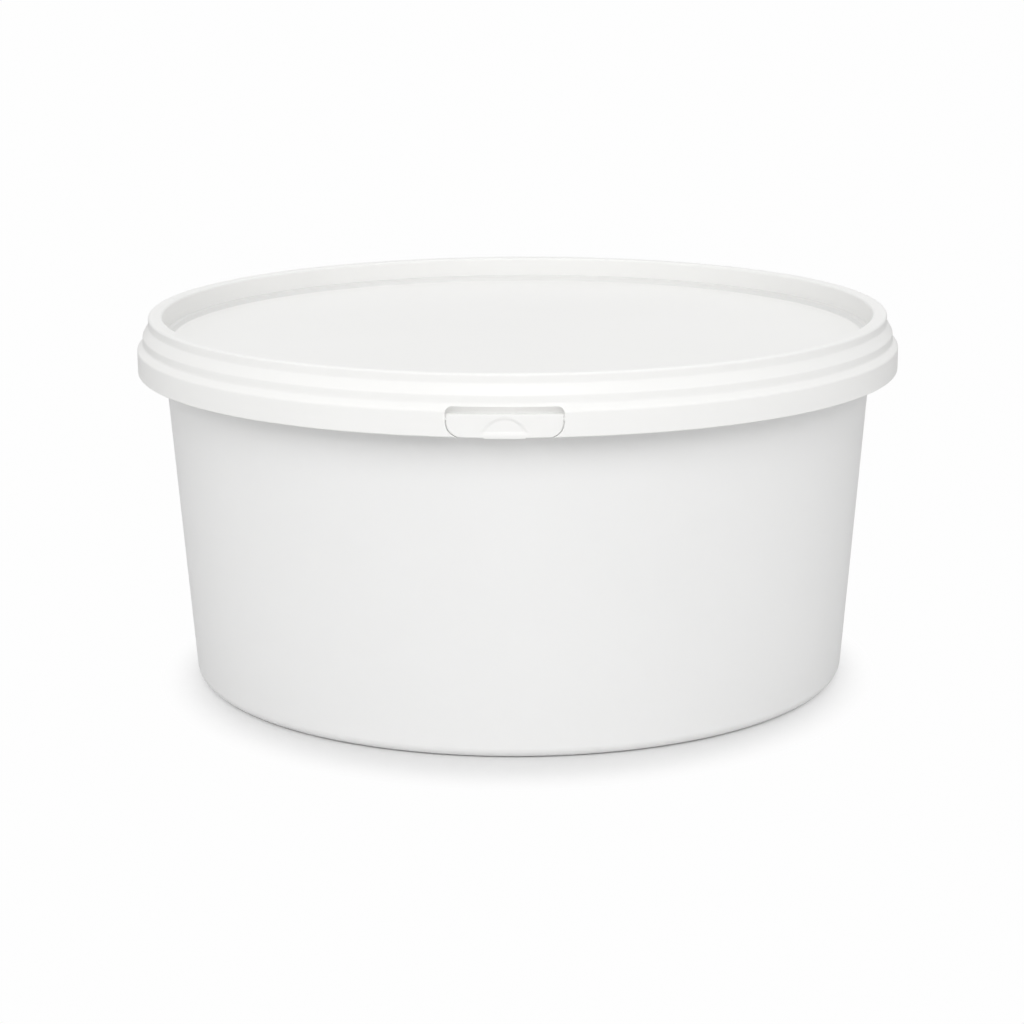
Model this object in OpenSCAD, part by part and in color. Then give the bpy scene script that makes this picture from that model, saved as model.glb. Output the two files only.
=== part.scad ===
// Round white filler tub, lying in its own frame: it stands on z = 0 and its axis is the Z axis.
// The tub and the lid are thin plastic mouldings. The lid's skirt hides the tub's rim, and a tear tab
// in the front of the skirt, at -Y, hangs on two small bridges until the tub is first opened.

/* [Tub] */
// Height of the tub's rim above the surface it stands on
tub_h = 94.5; // [80:0.5:160]
// Outside radius of the rim, which the lid's channel fits over
rim_r = 94.6; // [80:0.1:140]
// Radius that the tapered wall would reach at the surface the tub stands on
base_r = 85.8; // [74:0.1:91]
// Thickness of the tapered wall
wall_t = 1.2; // [0.9:0.1:1.6]
// Thickness of the floor
floor_t = 1.3; // [1:0.1:2]
// Outside rounding between wall and base
base_round = 3; // [2:0.1:4]
// Width of the flat ring that the tub stands on
foot_w = 3.4; // [2:0.1:6]
// Height of the raised floor's underside above the foot
floor_lift = 1.6; // [0.8:0.1:2.4]
// Radius of the sunk disc in the underside, round the moulding gate
gate_dish_r = 7; // [4:0.5:12]
// Depth of that disc
gate_dish_depth = 0.4; // [0.2:0.1:0.5]
// Radius of the stub that the moulding gate leaves
gate_stub_r = 1.3; // [0.8:0.1:2]
// Height of that stub
gate_stub_h = 0.3; // [0.1:0.1:0.4]

/* [Rim and flange] */
// Thickness of the rim's wall
rim_t = 1.1; // [0.8:0.1:1.4]
// How far the rim stands out from the tapered wall, as a step that the lid covers
shoulder_w = 2.3; // [1.8:0.1:3]
// Depth of the flange's top below the rim
flange_drop = 8.5; // [8:0.1:9.5]
// Thickness of the flange
flange_t = 1.2; // [0.9:0.1:1.5]
// Height of the lip that turns down from the flange's edge
flange_lip_h = 3.6; // [2.4:0.1:4]
// Thickness of that lip
flange_lip_t = 1; // [0.8:0.1:1.2]

/* [Lid] */
// Thickness of the ring that caps the rim
lid_top_t = 1.1; // [0.8:0.1:1.4]
// Thickness of the lid's outer wall
lid_wall_t = 1.1; // [0.9:0.1:1.3]
// Thickness of the wall that plugs the tub's mouth
plug_t = 0.9; // [0.7:0.1:1.1]
// Thickness of the flat panel
panel_t = 1.1; // [0.8:0.1:1.5]
// Depth of the panel's top below the lid's top
well_depth = 6.3; // [5.5:0.1:7]
// How much narrower the well is at its foot than at its mouth
well_draft = 0.2; // [0:0.05:0.4]
// Width of the narrow step round the well's foot
well_step_w = 1.3; // [1:0.1:1.6]
// Height of that step above the panel
well_step_h = 1.1; // [0.9:0.1:1.4]
// How far the step's side leans in towards the panel
well_step_lean = 0.7; // [0.4:0.1:1]
// How much wider each tier of the outer wall is than the one above it
tier_step = 1.5; // [1.3:0.1:1.7]
// Height of the first, topmost tier
tier_1_h = 2.3; // [2:0.1:2.6]
// Height of the slope below it
slope_1_h = 2.6; // [2.3:0.1:2.9]
// Height of the second tier
tier_2_h = 1.9; // [1.7:0.1:2.3]
// Height of the slope below it
slope_2_h = 1.6; // [1.4:0.1:1.9]
// Height of the skirt, the lowest tier
skirt_h = 6; // [5.5:0.1:7]
// Rounding of the ring's outer and inner edge
ring_round = 0.7; // [0.4:0.1:0.9]
// Rounding of the soft corners between the tiers
tier_round = 1; // [0.3:0.1:1.5]
// Rounding of the skirt's bottom edges
skirt_round = 0.3; // [0.1:0.05:0.4]

/* [Snap fit] */
// Gap between tub and lid wherever curved faces pass each other
lid_gap = 0.3; // [0.2:0.05:0.4]
// How far the lid's snap ring reaches in under the tub's bead
snap_undercut = 0.5; // [0.3:0.05:0.7]
// Height of the snap ring's inner face
snap_face_h = 0.5; // [0.3:0.1:0.6]
// Depth of the bead's widest edge below the rim
bead_drop = 3.9; // [3.7:0.1:4.3]
// Height of the bead's outer face
bead_face_h = 0.6; // [0.4:0.1:0.8]

/* [Tear tab] */
// Width of the tab
tab_w = 26.5; // [20:0.5:34]
// Width of the slit round the tab
slit_w = 0.5; // [0.3:0.05:0.6]
// Height of the open slot above the tab
slot_h = 1.6; // [1.2:0.1:1.8]
// Rounding of the slot's upper corners
slot_round = 1.5; // [0.8:0.1:1.6]
// Height of the tab's top edge above the skirt's bottom edge
tab_h = 5.4; // [5:0.1:5.6]
// How far the tab's bottom edge stays above the skirt's
tab_rise = 0.25; // [0.1:0.05:0.4]
// Rounding of the tab's lower corners
tab_round = 3.3; // [2.5:0.1:4]
// Half the width of the lip in the middle, which reaches down to the skirt's bottom edge
tab_lip_half_w = 4.8; // [4:0.1:6]
// Radius of the round bridges that the tab hangs on
bridge_r = 0.5; // [0.35:0.05:0.55]
// Depth of the bridges below the tab's top edge
bridge_drop = 1.2; // [1:0.1:1.4]
// Half the width of the finger scoop in the tab's face
scoop_half_w = 5; // [4:0.1:7]
// Height of the scoop's arch
scoop_h = 2.7; // [2:0.1:3]
// Height of the scoop's ledge above the skirt's bottom edge
scoop_rise = 1.4; // [1:0.1:1.8]
// Depth of the scoop
scoop_depth = 0.45; // [0.2:0.05:0.6]

/* [Filler paste] */
// Depth of the paste's level below the rim
paste_drop = 16.5; // [14.5:0.5:60]
// Gap between the paste and the tub's wall
paste_gap = 0.3; // [0.2:0.05:0.5]

/* [Hidden] */

$fn = 96;
// Distance that every cut runs past the face it opens
overrun = 2;
// Rounding of large and small outer edges, and of inner corners
edge_round = 0.5;
small_round = 0.25;
inner_round = 0.8;
// Straight stretches in a small rounded corner and in a wide one, from this radius up
small_round_steps = 4;
wide_round_steps = 12;
wide_round = 1.2;
// The share of an edge that the rounding at one end of it may use up, and the same at the tear tab
round_share = 0.48;
tab_round_share = 0.65;

// Radii and heights of the tub
flange_z = tub_h - flange_drop;
shoulder_r = rim_r - shoulder_w;
draft_share = (shoulder_r - base_r) / flange_z;
rim_in_r = rim_r - rim_t;
floor_z = floor_lift + floor_t;
foot_out_r = base_r - base_round;
foot_in_r = foot_out_r - foot_w;
foot_step_r = foot_in_r - floor_lift;
paste_level = tub_h - paste_drop;

// Radii and heights of the lid's outer wall
lid_z = tub_h + lid_top_t;
tier_1_in_r = rim_r + lid_gap;
tier_2_in_r = tier_1_in_r + tier_step;
skirt_in_r = tier_2_in_r + tier_step;
skirt_r = skirt_in_r + lid_wall_t;
tier_1_z = lid_z - tier_1_h;
tier_2_z = tier_1_z - slope_1_h;
slope_2_z = tier_2_z - tier_2_h;
skirt_top_z = slope_2_z - slope_2_h;
skirt_z = skirt_top_z - skirt_h;

// Radii and heights of the lid's well
plug_r = rim_in_r - lid_gap;
well_r = plug_r - plug_t;
well_bottom_r = well_r - well_draft;
panel_z = lid_z - well_depth;
panel_under_z = panel_z - panel_t;
step_z = panel_z + well_step_h;
step_r = well_bottom_r - well_step_w;
panel_r = step_r - well_step_lean;
// The step is as thick as the panel, so its underside has the same step a little further out
step_shift = panel_t * (norm([well_step_lean, well_step_h]) - well_step_lean) / well_step_h;

// The tub's bead, and the lid's snap ring that grips under it
bead_r = tier_2_in_r - lid_gap;
bead_top_z = tub_h - bead_drop;
bead_bottom_z = bead_top_z - bead_face_h;
bead_slope = bead_r - rim_r;
snap_r = bead_r - snap_undercut;
snap_gap = lid_gap * sqrt(2);
snap_top_z = bead_bottom_z - snap_undercut - snap_gap;
snap_bottom_z = snap_top_z - snap_face_h;
snap_reach = tier_2_in_r - snap_r;
slope_2_share = tier_step / slope_2_h;
snap_foot_r = tier_2_in_r + max(0, slope_2_z - snap_bottom_z) * slope_2_share;

// The tab in the skirt, hinged on the line through its two bridges
tab_z = skirt_z + tab_h;
tab_bottom_z = skirt_z + tab_rise;
slot_z = tab_z + slot_h;
tab_half_w = tab_w / 2;
window_half_w = tab_half_w + slit_w;
slit_x = tab_half_w + slit_w / 2;
hinge_z = tab_z - bridge_drop;
hinge_y = -sqrt(pow(skirt_r - lid_wall_t / 2, 2) - pow(slit_x, 2));
tab_swing_r = norm([skirt_r + hinge_y, bridge_drop]);
flange_r = -hinge_y - tab_swing_r - lid_gap;
// The cut for the window starts behind the skirt and ends in front of it
window_back_y = overrun - sqrt(pow(skirt_in_r, 2) - pow(window_half_w, 2));
scoop_z = skirt_z + scoop_rise;
scoop_r = (pow(scoop_half_w, 2) + pow(scoop_h, 2)) / (2 * scoop_h);

// The direction of a vector, and the place of an outline's corner without its rounding
function unit(v) = v / norm(v);
function place(corner) = [corner[0], corner[1]];

// The points that round the corner b between a and c. The radius is limited by the edges beside it.
function rounded(a, b, c, radius, share) =
    let (
        u = unit(a - b),
        w = unit(c - b),
        half = acos(u * w) / 2,
        r = min(radius, share * min(norm(a - b), norm(c - b)) * tan(half)),
        centre = b + unit(u + w) * r / sin(half),
        from = b + u * r / tan(half) - centre,
        to = b + w * r / tan(half) - centre,
        start = atan2(from[1], from[0]),
        sweep = (atan2(to[1], to[0]) - start + 540) % 360 - 180,
        steps = radius < wide_round ? small_round_steps : wide_round_steps
    )
    [for (i = [0 : steps]) centre + r * [cos(start + sweep * i / steps), sin(start + sweep * i / steps)]];

// An outline from corners [across, up, rounding], where a rounding of 0 leaves the corner sharp
function outline(corners, share = round_share) =
    let (n = len(corners))
    [for (i = [0 : n - 1])
        let (
            before = place(corners[(i + n - 1) % n]),
            here = place(corners[i]),
            after = place(corners[(i + 1) % n])
        )
        each corners[i][2] > 0 ? rounded(before, here, after, corners[i][2], share) : [here]];

// Radius of the tapered wall's outside at a height
function wall_r(z) = base_r + draft_share * z;

// A solid turned about the tub's axis from such corners
module turned(corners) {
    rotate_extrude() polygon(outline(corners));
}

// A slab through the front of the skirt, cut to an outline drawn as seen from the front
module front_slab(corners) {
    translate([0, window_back_y, 0])
        rotate([90, 0, 0])
            linear_extrude(skirt_r + overrun + window_back_y)
                polygon(outline(corners, tab_round_share));
}

// Tub: base with a foot ring, tapered wall, flange with a turned-down lip, and rim with its snap bead
module tub() {
    color([0.94, 0.94, 0.935]) difference() {
        turned([
            [0, floor_lift, 0],
            [foot_step_r, floor_lift, inner_round],
            [foot_in_r, 0, edge_round],
            [foot_out_r + base_round, 0, base_round],
            [wall_r(flange_z - flange_t), flange_z - flange_t, edge_round],
            [flange_r - flange_lip_t, flange_z - flange_t, edge_round],
            [flange_r - flange_lip_t, flange_z - flange_lip_h, small_round],
            [flange_r, flange_z - flange_lip_h, small_round],
            [flange_r, flange_z, small_round],
            [rim_r, flange_z, small_round],
            [rim_r, bead_bottom_z - bead_slope, 0],
            [bead_r, bead_bottom_z, small_round],
            [bead_r, bead_top_z, small_round],
            [rim_r, bead_top_z + bead_slope, edge_round],
            [rim_r, tub_h, small_round],
            [rim_in_r, tub_h, small_round],
            [rim_in_r, flange_z, inner_round],
            [wall_r(flange_z) - wall_t, flange_z, inner_round],
            [wall_r(floor_t) - wall_t, floor_t, base_round - wall_t],
            [foot_in_r, floor_t, inner_round],
            [foot_step_r, floor_z, inner_round],
            [0, floor_z, 0]
        ]);
        translate([0, 0, floor_lift - overrun]) cylinder(h = overrun + gate_dish_depth, r = gate_dish_r);
    }
    color([0.94, 0.94, 0.935])
        translate([0, 0, floor_lift + gate_dish_depth - gate_stub_h])
            cylinder(h = gate_stub_h, r = gate_stub_r);
}

// The lid's whole moulding before the tab is cut free: flat panel in a stepped well, ring over the rim,
// two tiers and the skirt, with the snap ring inside
module lid_moulding() {
    turned([
        [0, panel_z, 0],
        [panel_r, panel_z, edge_round],
        [step_r, step_z, edge_round],
        [well_bottom_r, step_z, edge_round],
        [well_r, lid_z, ring_round],
        [tier_1_in_r + lid_wall_t, lid_z, ring_round],
        [tier_1_in_r + lid_wall_t, tier_1_z, tier_round],
        [tier_2_in_r + lid_wall_t, tier_2_z, tier_round],
        [tier_2_in_r + lid_wall_t, slope_2_z, tier_round],
        [skirt_r, skirt_top_z, tier_round],
        [skirt_r, skirt_z, skirt_round],
        [skirt_in_r, skirt_z, skirt_round],
        [skirt_in_r, skirt_top_z, tier_round],
        [snap_foot_r, snap_bottom_z, 0],
        [snap_r, snap_bottom_z, small_round],
        [snap_r, snap_top_z, small_round],
        [tier_2_in_r, snap_top_z + snap_reach / 2, 0],
        [tier_2_in_r, tier_2_z, tier_round],
        [tier_1_in_r, tier_1_z, tier_round],
        [tier_1_in_r, tub_h, small_round],
        [plug_r, tub_h, small_round],
        [plug_r, step_z - panel_t, inner_round],
        [step_r + step_shift, step_z - panel_t, edge_round],
        [panel_r + step_shift, panel_under_z, edge_round],
        [0, panel_under_z, 0]
    ]);
}

// Lid: the moulding with the tab's window cut out of its skirt
module lid() {
    color([0.95, 0.95, 0.94]) difference() {
        lid_moulding();
        front_slab([
            [window_half_w, slot_z, slot_round],
            [window_half_w, tab_bottom_z - slit_w, tab_round + slit_w],
            [-window_half_w, tab_bottom_z - slit_w, tab_round + slit_w],
            [-window_half_w, slot_z, slot_round]
        ]);
    }
}

// Tear tab: the piece of skirt inside the window, with a half-moon finger scoop in its face
module tear_tab() {
    color([0.95, 0.95, 0.94]) difference() {
        intersection() {
            lid_moulding();
            front_slab([
                [tab_half_w, tab_z, small_round],
                [tab_half_w, tab_bottom_z, tab_round],
                [tab_lip_half_w, tab_bottom_z, tab_rise],
                [tab_lip_half_w, skirt_z - overrun, 0],
                [-tab_lip_half_w, skirt_z - overrun, 0],
                [-tab_lip_half_w, tab_bottom_z, tab_rise],
                [-tab_half_w, tab_bottom_z, tab_round],
                [-tab_half_w, tab_z, small_round]
            ]);
        }
        difference() {
            intersection() {
                translate([0, -skirt_r + overrun, scoop_z + scoop_h - scoop_r])
                    rotate([90, 0, 0]) cylinder(h = 2 * overrun, r = scoop_r);
                translate([-scoop_half_w - overrun, -skirt_r - overrun, scoop_z])
                    cube([2 * (scoop_half_w + overrun), 2 * overrun, scoop_h + overrun]);
            }
            translate([0, 0, skirt_z]) cylinder(h = tab_h + overrun, r = skirt_r - scoop_depth);
        }
    }
}

// Tear bridges: the two round webs that join the tab's sides to the skirt
module tear_bridges() {
    color([0.95, 0.95, 0.94])
        for (side = [-1, 1])
            translate([side * slit_x - slit_w / 2, hinge_y, hinge_z])
                rotate([0, 90, 0]) cylinder(h = slit_w, r = bridge_r);
}

// Filler paste: it rests on the raised floor and fills the tub to its level
module filler_paste() {
    // The step in the floor falls at 45 degrees, and the paste keeps its gap square to that slope
    step_gap = paste_gap * sqrt(2);
    color([0.9, 0.9, 0.88]) turned([
        [0, floor_z, 0],
        [foot_step_r + step_gap, floor_z, 0],
        [foot_in_r + step_gap - paste_gap, floor_t + paste_gap, inner_round],
        [wall_r(floor_t) - wall_t - paste_gap, floor_t + paste_gap, base_round - wall_t],
        [wall_r(paste_level) - wall_t - paste_gap, paste_level, edge_round],
        [0, paste_level, 0]
    ]);
}

tub();
lid();
tear_tab();
tear_bridges();
filler_paste();
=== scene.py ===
"""Looks of the wall filler tub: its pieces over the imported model, and the studio and camera round it.

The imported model's frame holds throughout: the tub stands on z = 0, its axis is the Z axis, and the
tear tab faces -Y. Sizes are given in millimetres and become metres where a mesh is made.
"""

import logging
import math
from collections.abc import Callable, Iterable, Sequence
from dataclasses import dataclass
from enum import Enum
from typing import ClassVar

import bmesh
import bpy
from bmesh.types import BMesh, BMVert
from bpy.types import Material, Mesh, NodeSocket, NodeTree, Object, Scene, World
from mathutils import Matrix, Vector
from mathutils.geometry import delaunay_2d_cdt


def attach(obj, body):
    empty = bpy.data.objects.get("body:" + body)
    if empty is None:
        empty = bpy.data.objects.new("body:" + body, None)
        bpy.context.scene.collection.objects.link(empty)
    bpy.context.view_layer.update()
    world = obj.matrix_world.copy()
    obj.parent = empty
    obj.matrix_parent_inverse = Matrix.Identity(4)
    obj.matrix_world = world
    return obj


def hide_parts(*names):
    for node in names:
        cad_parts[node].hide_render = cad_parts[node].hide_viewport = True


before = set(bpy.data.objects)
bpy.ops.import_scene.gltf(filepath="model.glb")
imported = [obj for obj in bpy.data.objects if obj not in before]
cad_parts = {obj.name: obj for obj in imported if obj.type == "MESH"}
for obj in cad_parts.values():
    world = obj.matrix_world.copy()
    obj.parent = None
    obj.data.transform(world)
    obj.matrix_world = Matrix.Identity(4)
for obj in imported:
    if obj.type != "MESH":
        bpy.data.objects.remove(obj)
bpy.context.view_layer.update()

log = logging.getLogger("filler tub")

MM = 0.001
# Points closer together than this, in millimetres, are one point
SAME_SPOT = 1e-4
BLACK = (0.0, 0.0, 0.0, 1.0)
WHITE = (1.0, 1.0, 1.0, 1.0)


class Body(Enum):
    """The bodies that pieces ride on."""

    TUB = "tub_body"
    LID = "lid_body"
    TAB = "tab_body"


class Slot(Enum):
    """The record's material slots."""

    TUB = "tub_plastic"
    LID = "lid_plastic"
    PASTE = "filler_paste"


def operator(operation: str, turned: bool = False) -> Callable[["Wire", object], "Wire"]:
    """Makes an operator between a wire and a value, which come in the other order if turned."""
    order = -1 if turned else 1
    return lambda wire, value: wire.board.sum(operation, *(wire, value)[::order])


class Wire:
    """A node's output that takes part in sums the way a number does."""

    def __init__(self, board: "Board", socket: NodeSocket) -> None:
        """Keeps the board that the node is on and the output."""
        self.board = board
        self.socket = socket

    def other(self, name: str | int) -> "Wire":
        """Gives another output of the same node."""
        return Wire(self.board, self.socket.node.outputs[name])

    __add__ = __radd__ = operator("ADD")
    __sub__ = operator("SUBTRACT")
    __rsub__ = operator("SUBTRACT", turned=True)
    __mul__ = __rmul__ = operator("MULTIPLY")
    __truediv__ = operator("DIVIDE")
    __pow__ = operator("POWER")


class Board:
    """A node tree that is being built, of a material, the world or a geometry modifier."""

    def __init__(self, tree: NodeTree) -> None:
        """Keeps the tree."""
        self.tree = tree

    @classmethod
    def emptied(cls, owner: Material | World) -> "Board":
        """Starts on a node tree without its first nodes.

        Args:
            owner: The material or world whose tree it is.

        Returns:
            The board.
        """
        owner.use_nodes = True
        owner.node_tree.nodes.clear()
        return cls(owner.node_tree)

    def add(
        self,
        kind: str,
        settings: dict[str, object] | None = None,
        sockets: dict[str | int, object] | None = None,
    ) -> Wire:
        """Adds a node, makes its settings and then fills its sockets.

        Args:
            kind: The node's type.
            settings: Its own settings by name.
            sockets: Values or wires for its inputs, by name or number.

        Returns:
            The node's first output, or its first input if it has no output.
        """
        node = self.tree.nodes.new(kind)
        for name, value in (settings or {}).items():
            setattr(node, name, value)
        for name, value in (sockets or {}).items():
            if isinstance(value, Wire):
                self.tree.links.new(value.socket, node.inputs[name])
            else:
                node.inputs[name].default_value = value
        return Wire(self, node.outputs[0] if node.outputs else node.inputs[0])

    def sum(self, operation: str, *values: "Wire | float") -> Wire:
        """Adds a Math node with one to three inputs."""
        return self.add("ShaderNodeMath", {"operation": operation}, dict(enumerate(values)))

    def vector(self, operation: str, *values: object) -> Wire:
        """Adds a Vector Math node."""
        return self.add("ShaderNodeVectorMath", {"operation": operation}, dict(enumerate(values)))

    def blend(self, share: Wire, low: object, high: object) -> Wire:
        """Mixes two colours, with the given share of the second."""
        return self.add("ShaderNodeMix", {"data_type": "RGBA"}, {0: share, 6: low, 7: high}).other(2)

    def ramp(self, share: Wire, stops: Sequence[tuple[float, float]]) -> Wire:
        """Looks a value up in a colour ramp of greys.

        Args:
            share: The value, from 0 to 1.
            stops: The ramp's (place, grey) pairs in order.

        Returns:
            The grey.
        """
        found = self.add("ShaderNodeValToRGB", sockets={"Fac": share})
        elements = found.socket.node.color_ramp.elements
        while len(elements) < len(stops):
            elements.new(1.0)
        for element, (place, grey) in zip(elements, stops):
            element.position = place
            element.color = (grey, grey, grey, 1.0)
        return found

    def fade(self, length: Wire, start: float, end: float) -> Wire:
        """Goes smoothly from 0 to 1 as a length in metres grows between two in millimetres."""
        sockets = {"Value": length, "From Min": start * MM, "From Max": end * MM}
        return self.add("ShaderNodeMapRange", {"interpolation_type": "SMOOTHSTEP"}, sockets)

    def noise(self, place: Wire, size: float, detail: float, **others: float) -> Wire:
        """Adds noise with patches of about a size in millimetres."""
        sockets = {"Vector": place, "Scale": 1 / (size * MM), "Detail": detail, **others}
        return self.add("ShaderNodeTexNoise", sockets=sockets)

    def bump(self, height: Wire) -> Wire:
        """Turns a height in millimetres into a normal."""
        return self.add("ShaderNodeBump", sockets={"Strength": 1.0, "Distance": MM, "Height": height})

    def flat(self, place: Wire) -> Wire:
        """Leaves the height out of a place."""
        return self.vector("MULTIPLY", place, (1.0, 1.0, 0.0))

    def from_axis(self, place: Wire) -> Wire:
        """Measures a place's distance from the tub's axis, in metres."""
        return self.vector("LENGTH", self.flat(place)).other("Value")

    def hand_out(self, name: str, shape: Wire, finish: Wire) -> None:
        """Makes a shape the result of a geometry tree.

        Args:
            name: The result's name in the tree.
            shape: The shape.
            finish: Its material.
        """
        real = self.add("GeometryNodeRealizeInstances", sockets={"Geometry": shape})
        dressed = self.add("GeometryNodeSetMaterial", sockets={"Geometry": real, "Material": finish})
        self.add("NodeGroupOutput", sockets={name: dressed})


def opaque(colour: Sequence[float], level: float = 1.0) -> tuple[float, ...]:
    """Gives a colour for a socket, its parts multiplied by a level."""
    return (*(min(1.0, part * level) for part in colour), 1.0)


@dataclass(frozen=True)
class PaintedWellShade:
    """Painted shade: rings of greyer colour on the lid's well, strong on its narrow step and faint on its
    wall, where shade falls in the well.
    """

    start_r: float = 89.6
    end_r: float = 92.8
    shade_tones: tuple[tuple[float, float], ...] = (
        (89.7, 1.0), (90.2, 0.84), (91.9, 0.84), (92.1, 0.975), (92.4, 0.975), (92.7, 1.0)
    )

    def tone(self, board: Board, place: Wire) -> Wire:
        """Works out the painted shade that the colour is multiplied by.

        Args:
            board: The material's tree.
            place: The Object coordinates.

        Returns:
            The grey.
        """
        width = self.end_r - self.start_r
        stops = tuple(((radius - self.start_r) / width, grey) for radius, grey in self.shade_tones)
        return board.ramp((board.from_axis(place) - self.start_r * MM) / (width * MM), stops)


@dataclass(frozen=True)
class PaintedSlotGlow:
    """Painted light: an emission on the lid's faces behind the tab's slot, which lightens the slot's shade
    as light coming through the thin wall would.
    """

    strength: float = 0.82
    inside_r: float = 97.96
    lean_from_z: float = 87.2
    lean: float = 0.94
    low_z: float = 84.9
    high_z: float = 88.7
    full_x: float = 12.5
    end_x: float = 17.0

    def share(self, board: Board, place: Wire) -> Wire:
        """Finds the faces, inside a wall that leans inwards from a height on.

        Args:
            board: The material's tree.
            place: The Object coordinates.

        Returns:
            1 on those faces and 0 elsewhere, with a fade beside the slot.
        """
        x = board.add("ShaderNodeSeparateXYZ", sockets={0: place})
        y, z = x.other("Y"), x.other("Z")
        leaning = board.sum("MAXIMUM", z - self.lean_from_z * MM, 0.0) * self.lean
        inside = board.sum("LESS_THAN", board.from_axis(place) + leaning, self.inside_r * MM)
        above = board.sum("GREATER_THAN", z, self.low_z * MM)
        below = board.sum("LESS_THAN", z, self.high_z * MM)
        in_front = board.sum("LESS_THAN", y, 0.0)
        beside = board.fade(board.sum("ABSOLUTE", x), self.full_x, self.end_x)
        return inside * above * below * in_front * (1 - beside)


@dataclass(frozen=True)
class Plastic:
    """Satin white polypropylene, as it comes out of the mould.

    The mould's spark-eroded grain shows as a very fine bump, its polishing as faint lines along the
    draft, and the flow of the melt as soft clouds in tone and gloss.
    """

    name: str
    colour: tuple[float, float, float]
    roughness: float
    # Painted shade on the lid's well, multiplied into the colour
    rings: PaintedWellShade | None = None
    # Painted light: an emission behind the tab's slot
    glow: PaintedSlotGlow | None = None
    refraction: float = 1.49
    cloud_size: float = 34.0
    cloud_tone: float = 0.012
    cloud_gloss: float = 0.05
    line_gloss: float = 0.04
    line_count: float = 46.0
    line_squeeze: float = 6.0
    grain_size: float = 0.55
    grain_height: float = 0.004
    wave_size: float = 11.0
    wave_height: float = 0.012

    def material(self) -> Material:
        """Makes the material.

        Returns:
            The material, on Object coordinates.
        """
        material = bpy.data.materials.new(self.name)
        board = Board.emptied(material)
        place = board.add("ShaderNodeTexCoord").other("Object")
        clouds = board.noise(place, self.cloud_size, detail=3.0)
        grain = board.noise(place, self.grain_size, detail=2.0)
        wave = board.noise(place, self.wave_size, detail=1.0)
        # The lines are noise on a cylinder, drawn out along the tub's axis
        round_place = board.vector("NORMALIZE", board.flat(place))
        squeezed = board.vector("MULTIPLY", place, (0.0, 0.0, self.line_squeeze))
        drawn = board.vector("ADD", round_place, squeezed)
        lines = board.add(
            "ShaderNodeTexNoise",
            sockets={"Vector": drawn, "Scale": self.line_count, "Detail": 4.0, "Roughness": 0.65},
        )
        darker = opaque(self.colour, 1.0 - self.cloud_tone)
        lighter = opaque(self.colour, 1.0 + self.cloud_tone)
        tone = board.blend(clouds, darker, lighter)
        # Painted shade: the well's step and wall are coloured greyer
        if self.rings:
            tone = board.vector("MULTIPLY", tone, self.rings.tone(board, place))
        gloss = self.roughness + (clouds - 0.5) * self.cloud_gloss + (lines - 0.5) * self.line_gloss
        sockets = {
            "Base Color": tone,
            "Roughness": gloss,
            "IOR": self.refraction,
            "Normal": board.bump(grain * self.grain_height + wave * self.wave_height),
        }
        # Painted light: the faces behind the tab's slot glow, so the slot reads less dark
        if self.glow:
            lit = self.glow.share(board, place)
            sockets["Emission Color"] = board.blend(lit, BLACK, opaque(self.colour))
            sockets["Emission Strength"] = self.glow.strength
        shader = board.add("ShaderNodeBsdfPrincipled", sockets=sockets)
        board.add("ShaderNodeOutputMaterial", sockets={"Surface": shader})
        return material


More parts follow.
